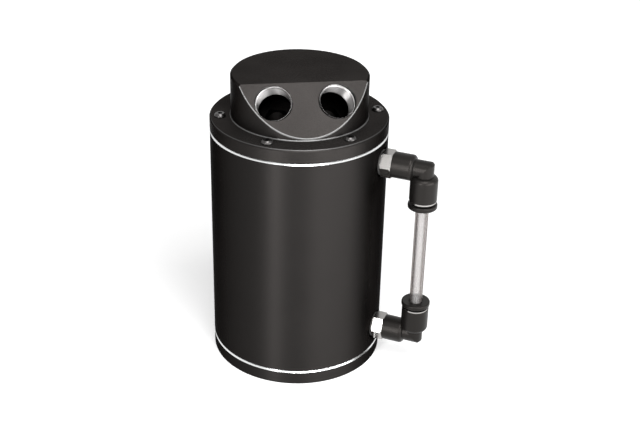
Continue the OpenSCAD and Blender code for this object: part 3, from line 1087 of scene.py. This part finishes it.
def add_surface(name: str, grid: Grid) -> Object:
    """Turns a grid of points, closed both ways, into a mesh object at the origin.

    Each point is joined by a quad to the next points along both parameters, and the
    last row and column join the first.

    Args:
        name: The piece's name.
        grid: Arrays of x, y and z, all of one shape.

    Returns:
        The object.
    """
    points = np.stack(grid, axis=-1)
    here = np.arange(points[..., 0].size).reshape(points.shape[:2])
    down = np.roll(here, -1, axis=0)
    corners = (here, down, np.roll(down, -1, axis=1), np.roll(here, -1, axis=1))
    quads = np.stack(corners, axis=-1).reshape(-1, 4)
    mesh = bpy.data.meshes.new(name)
    mesh.from_pydata(points.reshape(-1, 3).tolist(), [], quads.tolist())
    mesh.update()
    piece = bpy.data.objects.new(name, mesh)
    bpy.context.scene.collection.objects.link(piece)
    return piece


def store_bareness_and_shade(piece: Object, bareness_and_shade: np.ndarray) -> None:
    """Keeps one value per point in a UV map, as both of its coordinates.

    Args:
        piece: The piece.
        bareness_and_shade: The values, in the order of the piece's points.
    """
    mesh = piece.data
    corner_points = np.empty(len(mesh.loops), dtype=np.int64)
    mesh.loops.foreach_get("vertex_index", corner_points)
    values = bareness_and_shade.reshape(-1)[corner_points]
    mesh.uv_layers.new(name="ridge").data.foreach_set("uv", np.repeat(values, 2))


@dataclass
class PortThread:
    """The bare thread in one hose port, as a thin sleeve with a helical ridge inside."""

    side: Side
    pitch: float = 1.337 * MM
    ridge: float = 0.6 * MM
    ridge_slope: float = 1.25
    root_width: float = 0.1
    depth: float = 9.2 * MM
    inset: float = 0.42 * MM
    entry: float = 1.0 * MM
    # Painted shade keeps the crests below the entry at this share of bare metal
    shaded_crest_share: float = 0.3
    bore_gap: float = 0.02 * MM
    wall: float = 0.05 * MM
    around: int = 96
    per_pitch: int = 10

    def build(self, material: Material) -> None:
        """Makes the thread and dresses it.

        Args:
            material: The thread's material.
        """
        grid, bareness_and_shade = self._surface()
        piece = add_surface(f"{self.side.name.lower()}_port_thread", grid)
        store_bareness_and_shade(piece, bareness_and_shade)
        piece.data.materials.append(material)
        piece.data.shade_smooth()
        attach(piece, Body.CAN.value)
        log.info("built %s with %d faces", piece.name, len(piece.data.polygons))

    def _surface(self) -> tuple[Grid, np.ndarray]:
        """Works out the sleeve.

        The profile runs down the inside and back up the outside. Inside, the radius
        is the wall's less the ridge times a clipped triangle wave whose phase is the
        depth over the pitch plus the turn, so the ridge climbs one pitch a turn.
        Outside it is the bore's radius. The ridge runs out at both ends, and the
        entry is bare right round.

        Returns:
            The points, with the profile as first and the turn as second parameter, and
            how bare each point is, from painted shade at 0 in the roots to bare metal at 1 at the
            entry.
        """
        steps = int(round((self.depth - self.inset) / self.pitch * self.per_pitch))
        down = np.linspace(self.inset, self.depth, steps + 1)
        turn = np.linspace(0.0, 2 * math.pi, self.around, endpoint=False)
        level, angle = np.meshgrid(down, turn, indexing="ij")
        phase = (level / self.pitch + self.side.value * angle / (2 * math.pi)) % 1.0
        triangle = 1.0 - np.abs(2.0 * phase - 1.0)
        ridge = np.clip(self.ridge_slope * triangle - self.root_width, 0.0, 1.0)
        ridge *= np.clip((level - self.inset) / self.pitch, 0.0, 1.0)
        ridge *= np.clip((self.depth - level) / self.pitch, 0.0, 1.0)
        bore = PORT_RADIUS - self.bore_gap
        inner = bore - self.wall - self.ridge * ridge
        outer = np.full_like(inner, bore)
        # Bare right round at the entry; deeper, painted shade darkens the roots fully and the
        # crests to a share
        bare = np.where(level < self.inset + self.entry, 1.0, self.shaded_crest_share * ridge)
        bareness_and_shade = np.concatenate([bare, np.zeros_like(outer)])
        radius = np.concatenate([inner, outer[::-1]])
        level = np.concatenate([level, level[::-1]])
        angle = np.concatenate([angle, angle[::-1]])
        axis = port_axis(self.side)
        across = Vector((0.0, 0.0, 1.0)).cross(axis).normalized()
        upward = axis.cross(across)
        centre = mouth_centre(self.side)
        x, y, z = (
            centre[i] - level * axis[i]
            + radius * (np.cos(angle) * across[i] + np.sin(angle) * upward[i])
            for i in range(3)
        )
        return (x, y, z), bareness_and_shade


# Sub-assemblies


def dress(finish: Finish, effects: Effects, *nodes: str) -> None:
    """Builds a finish once and puts it on CAD nodes.

    Args:
        finish: The finish.
        effects: The shared effects.
        *nodes: The nodes' names.
    """
    material = finish.material(effects)
    for node in nodes:
        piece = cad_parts[node]
        if not piece.material_slots:
            piece.data.materials.append(material)
        for slot in piece.material_slots:
            slot.material = material
        log.info("dressed %s with %s", node, material.name)


@dataclass(frozen=True)
class Vessel:
    """The machined can: tube, base and lid with their screws, seals and threads."""

    tube: Anodised = Anodised(
        name="anodised_tube",
        bare_and_highlight_rings=(
            BareAndHighlightRing(TUBE_TOP - BRIGHT_CHAMFER, TUBE_TOP + MM, CAN_RADIUS - BRIGHT_CHAMFER),
        ),
    )
    base: Anodised = Anodised(
        name="anodised_base",
        bare_and_highlight_rings=(
            BareAndHighlightRing(
                BASE_RIM_TOP - BRIGHT_CHAMFER, BASE_RIM_TOP + MM, CAN_RADIUS - BRIGHT_CHAMFER
            ),
        ),
    )
    lid: Anodised = Anodised(
        name="anodised_lid",
        colour=(0.025, 0.023, 0.022),
        roughness=0.46,
        anisotropy=0.7,
        grain=0.45 * MM,
        edge_tint=0.35,
        relief=0.8,
        shade=0.6,
        mouths=(Side.INLET, Side.OUTLET),
        has_edge_highlight=True,
        flats=(FLANGE_TOP, HEAD_TOP),
        bare_and_highlight_rings=(
            # Painted highlight lines: the fillet between flange and head, then the flange's upper
            # edge
            BareAndHighlightRing(
                FLANGE_TOP + 0.1 * MM, FLANGE_TOP + 0.5 * MM, HEAD_RADIUS - 0.01 * MM, 0.14
            ),
            BareAndHighlightRing(
                FLANGE_TOP - 0.35 * MM, FLANGE_TOP - 0.05 * MM, CAN_RADIUS - 0.9 * MM, 0.06
            ),
        ),
    )
    screw: Metal = Metal(name="black_oxide_steel", colour=(0.07, 0.067, 0.066), roughness=0.3)
    plug: Metal = Metal(name="bright_steel", colour=(0.6, 0.6, 0.62), roughness=0.25)
    washer: Metal = Metal(name="soft_copper", colour=(0.72, 0.42, 0.28), roughness=0.35)
    inner: Metal = Metal(name="bare_aluminium", colour=(0.78, 0.78, 0.79), roughness=0.35)
    rubber: Moulded = Moulded(name="seal_rubber", colour=(0.02, 0.02, 0.02), roughness=0.6)
    # The thread's material carries painted shade in its roots
    thread: CutThread = CutThread(name="bare_thread_painted_shade")

    def build(self, effects: Effects) -> None:
        """Dresses the vessel's nodes and adds the port threads.

        Args:
            effects: The shared effects.
        """
        dress(self.tube, effects, "canister")
        dress(self.base, effects, "base_plate")
        dress(self.lid, effects, "lid")
        dress(self.screw, effects, "lid_screws", "base_screws")
        dress(self.plug, effects, "drain_plug")
        dress(self.washer, effects, "drain_plug_seal")
        dress(self.inner, effects, "inlet_drop_tube", "baffle_disc")
        dress(self.rubber, effects, "lid_seal", "base_seal")
        thread = self.thread.material(effects)
        for side in Side:
            PortThread(side).build(thread)


@dataclass(frozen=True)
class SightGauge:
    """The clear tube and the two push-in fittings that hold it."""

    plating: Metal = Metal(
        name="nickel_plating", colour=(0.33, 0.32, 0.31), roughness=0.2, relief=0.02
    )
    plastic: Moulded = Moulded(
        name="black_plastic", colour=(0.005, 0.0046, 0.0043), roughness=0.36, gloss=0.18
    )
    steel: Metal = Metal(name="grip_steel", colour=(0.62, 0.62, 0.63), roughness=0.25)
    rubber: Moulded = Moulded(name="fitting_rubber", colour=(0.02, 0.02, 0.02), roughness=0.6)
    clear: ClearPlastic = ClearPlastic(name="clear_tube")

    def build(self, effects: Effects) -> None:
        """Dresses the gauge's nodes.

        Args:
            effects: The shared effects.
        """
        dress(self.clear, effects, "sight_tube")
        for finish, parts in (
            (self.plating, ("stud", "socket_ring")),
            (self.plastic, ("elbow", "release_collar")),
            (self.steel, ("gripper",)),
            (self.rubber, ("stud_seal", "swivel_seal", "tube_seal")),
        ):
            nodes = (f"{end}_{part}" for end in ("upper", "lower") for part in parts)
            dress(finish, effects, *nodes)


def main() -> None:
    """Builds the camera, the studio and the can's looks, in that order."""
    logging.basicConfig(level=logging.INFO, format="%(name)s: %(message)s")
    bpy.context.scene.view_settings.view_transform = "Standard"
    camera = PhotoCamera()
    camera.build()
    Studio().build(camera.azimuth())
    effects = Effects()
    Vessel().build(effects)
    SightGauge().build(effects)


if __name__ == "__main__":
    main()
